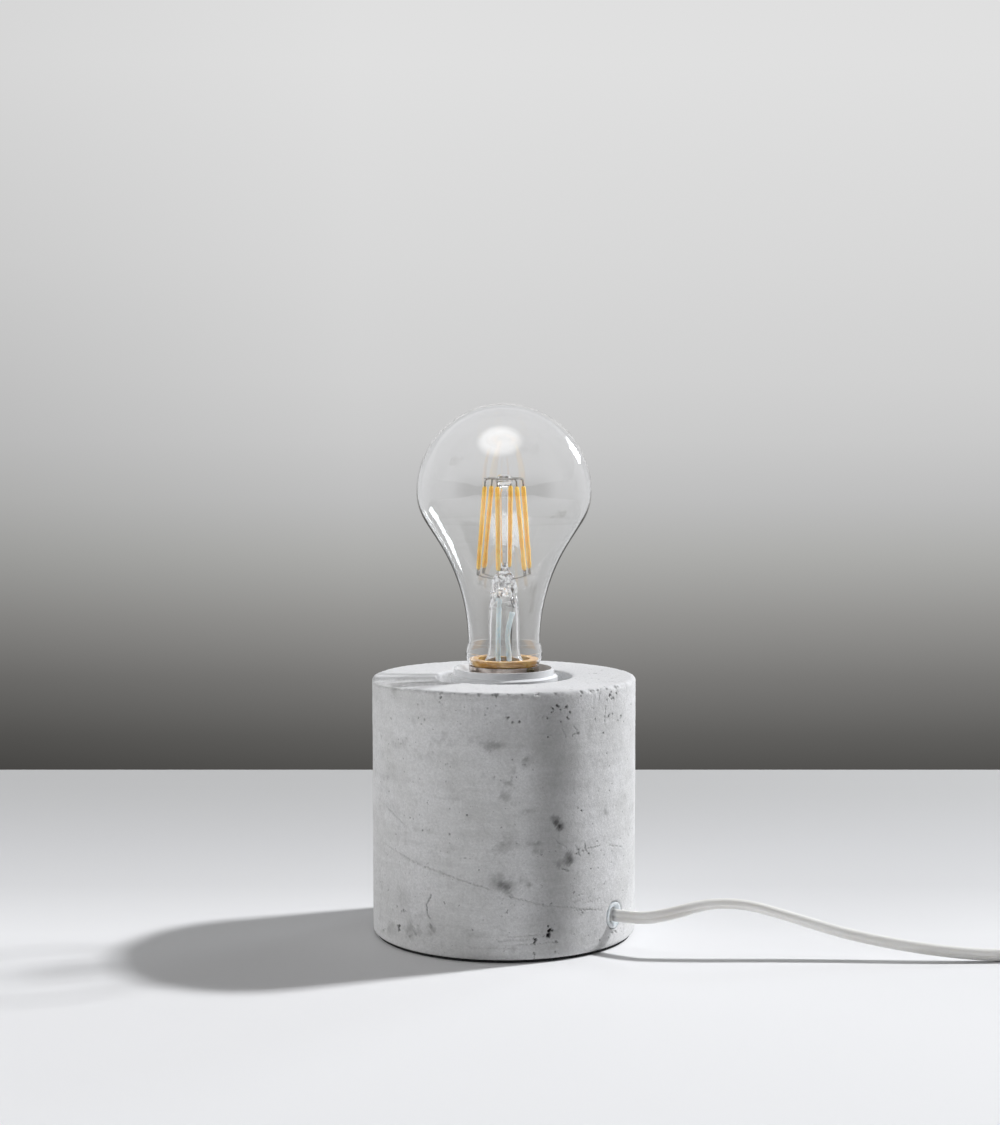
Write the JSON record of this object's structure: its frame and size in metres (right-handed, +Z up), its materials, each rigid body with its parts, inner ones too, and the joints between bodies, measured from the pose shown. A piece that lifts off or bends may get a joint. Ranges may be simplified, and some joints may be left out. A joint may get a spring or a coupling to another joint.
{
  "type": "concrete table lamp",
  "caption": "Cylindrical cast concrete table lamp with a sunk lampholder, a clear pear-shaped filament bulb, and a mains cord with in-line switch and plug.",
  "frame": {"origin": "on the body's axis, at the table under the base pad", "axes": "+Z up along the body's axis, +X to the right as seen from the front, +Y to the back"},
  "size_m": [0.3634, 0.1055, 0.2013],
  "materials": {
    "concrete": "cast, smooth, matt",
    "foam_pad": "matt",
    "bush_plastic": "translucent satin",
    "white_plastic": "satin",
    "holder_plastic": "gloss",
    "rocker_plastic": "gloss",
    "insert_ceramic": "matt",
    "cord_sheath": "soft satin",
    "core_brown": "satin",
    "core_blue": "satin",
    "plug_rubber": "matt",
    "tie_plastic": "matt",
    "zinc_steel": "zinc plated",
    "brass": "bare",
    "pin_metal": "nickel plated",
    "cap_metal": "bright",
    "black_glass": "glassy",
    "cement": "amber, glassy",
    "clear_glass": "clear",
    "stem_glass": "clear",
    "phosphor": "matt",
    "support_metal": "bright wire",
    "sleeve_white": "matt",
    "board": "satin",
    "driver_black": "satin"
  },
  "bodies": {
    "root": {"concrete_body": "concrete", "base_pad": "foam_pad", "cable_bush": "bush_plastic", "anchor_block": "white_plastic", "anchor_plate": "white_plastic", "anchor_screws": "zinc_steel", "inner_sheath": "cord_sheath", "live_wire": "core_brown", "neutral_wire": "core_blue", "threaded_tube": "zinc_steel", "upper_washer": "zinc_steel", "lower_washer": "zinc_steel", "lock_nut": "zinc_steel", "holder_dome": "holder_plastic", "holder_insert": "insert_ceramic", "holder_skirt": "holder_plastic", "centre_contact": "brass", "side_contact": "brass", "terminal_blocks": "brass", "terminal_screws": "zinc_steel", "switch_base": "white_plastic", "switch_cover": "white_plastic", "switch_screws": "zinc_steel", "switch_terminals": "brass", "switch_terminal_screws": "zinc_steel", "switch_contacts": "brass", "switch_wires": "core_brown", "plug_body": "white_plastic", "plug_sleeve": "plug_rubber", "plug_pins": "pin_metal", "plug_pin_sleeves": "plug_rubber", "cord_lamp_side": "cord_sheath", "cord_to_coil": "cord_sheath", "cord_coil": "cord_sheath", "cord_plug_side": "cord_sheath", "coil_tie": "tie_plastic"},
    "bulb_carriage": {"cap_contact": "pin_metal"},
    "bulb": {"cap_shell": "cap_metal", "cap_insulator": "black_glass", "cap_cement": "cement", "glass_envelope": "clear_glass", "glass_stem": "stem_glass", "led_filaments": "phosphor", "upper_supports": "support_metal", "lower_supports": "support_metal", "lead_wires": "support_metal", "lead_sleeves": "sleeve_white", "driver_board": "board", "driver_parts": "driver_black"},
    "rocker": {"switch_rocker": "rocker_plastic"}
  },
  "joints": [
    {"name": "bulb_rise", "type": "slide", "parent": "root", "child": "bulb_carriage", "axis": [0, 0, 1], "range_m": [0, 0.01824]},
    {"name": "bulb_turn", "type": "hinge", "parent": "bulb_carriage", "child": "bulb", "pos_m": [0, 0, 0.1], "axis": [0, 0, 1], "range_deg": [0, 1800]},
    {"name": "rocker_tilt", "type": "hinge", "parent": "root", "child": "rocker", "pos_m": [0.237, -0.042, 0.0132], "axis": [0, 1, 0], "range_deg": [0, 16]}
  ],
  "couplings": [
    {"joint": "bulb_rise", "follows": "bulb_turn", "m_per_rad": 0.00057757}
  ]
}
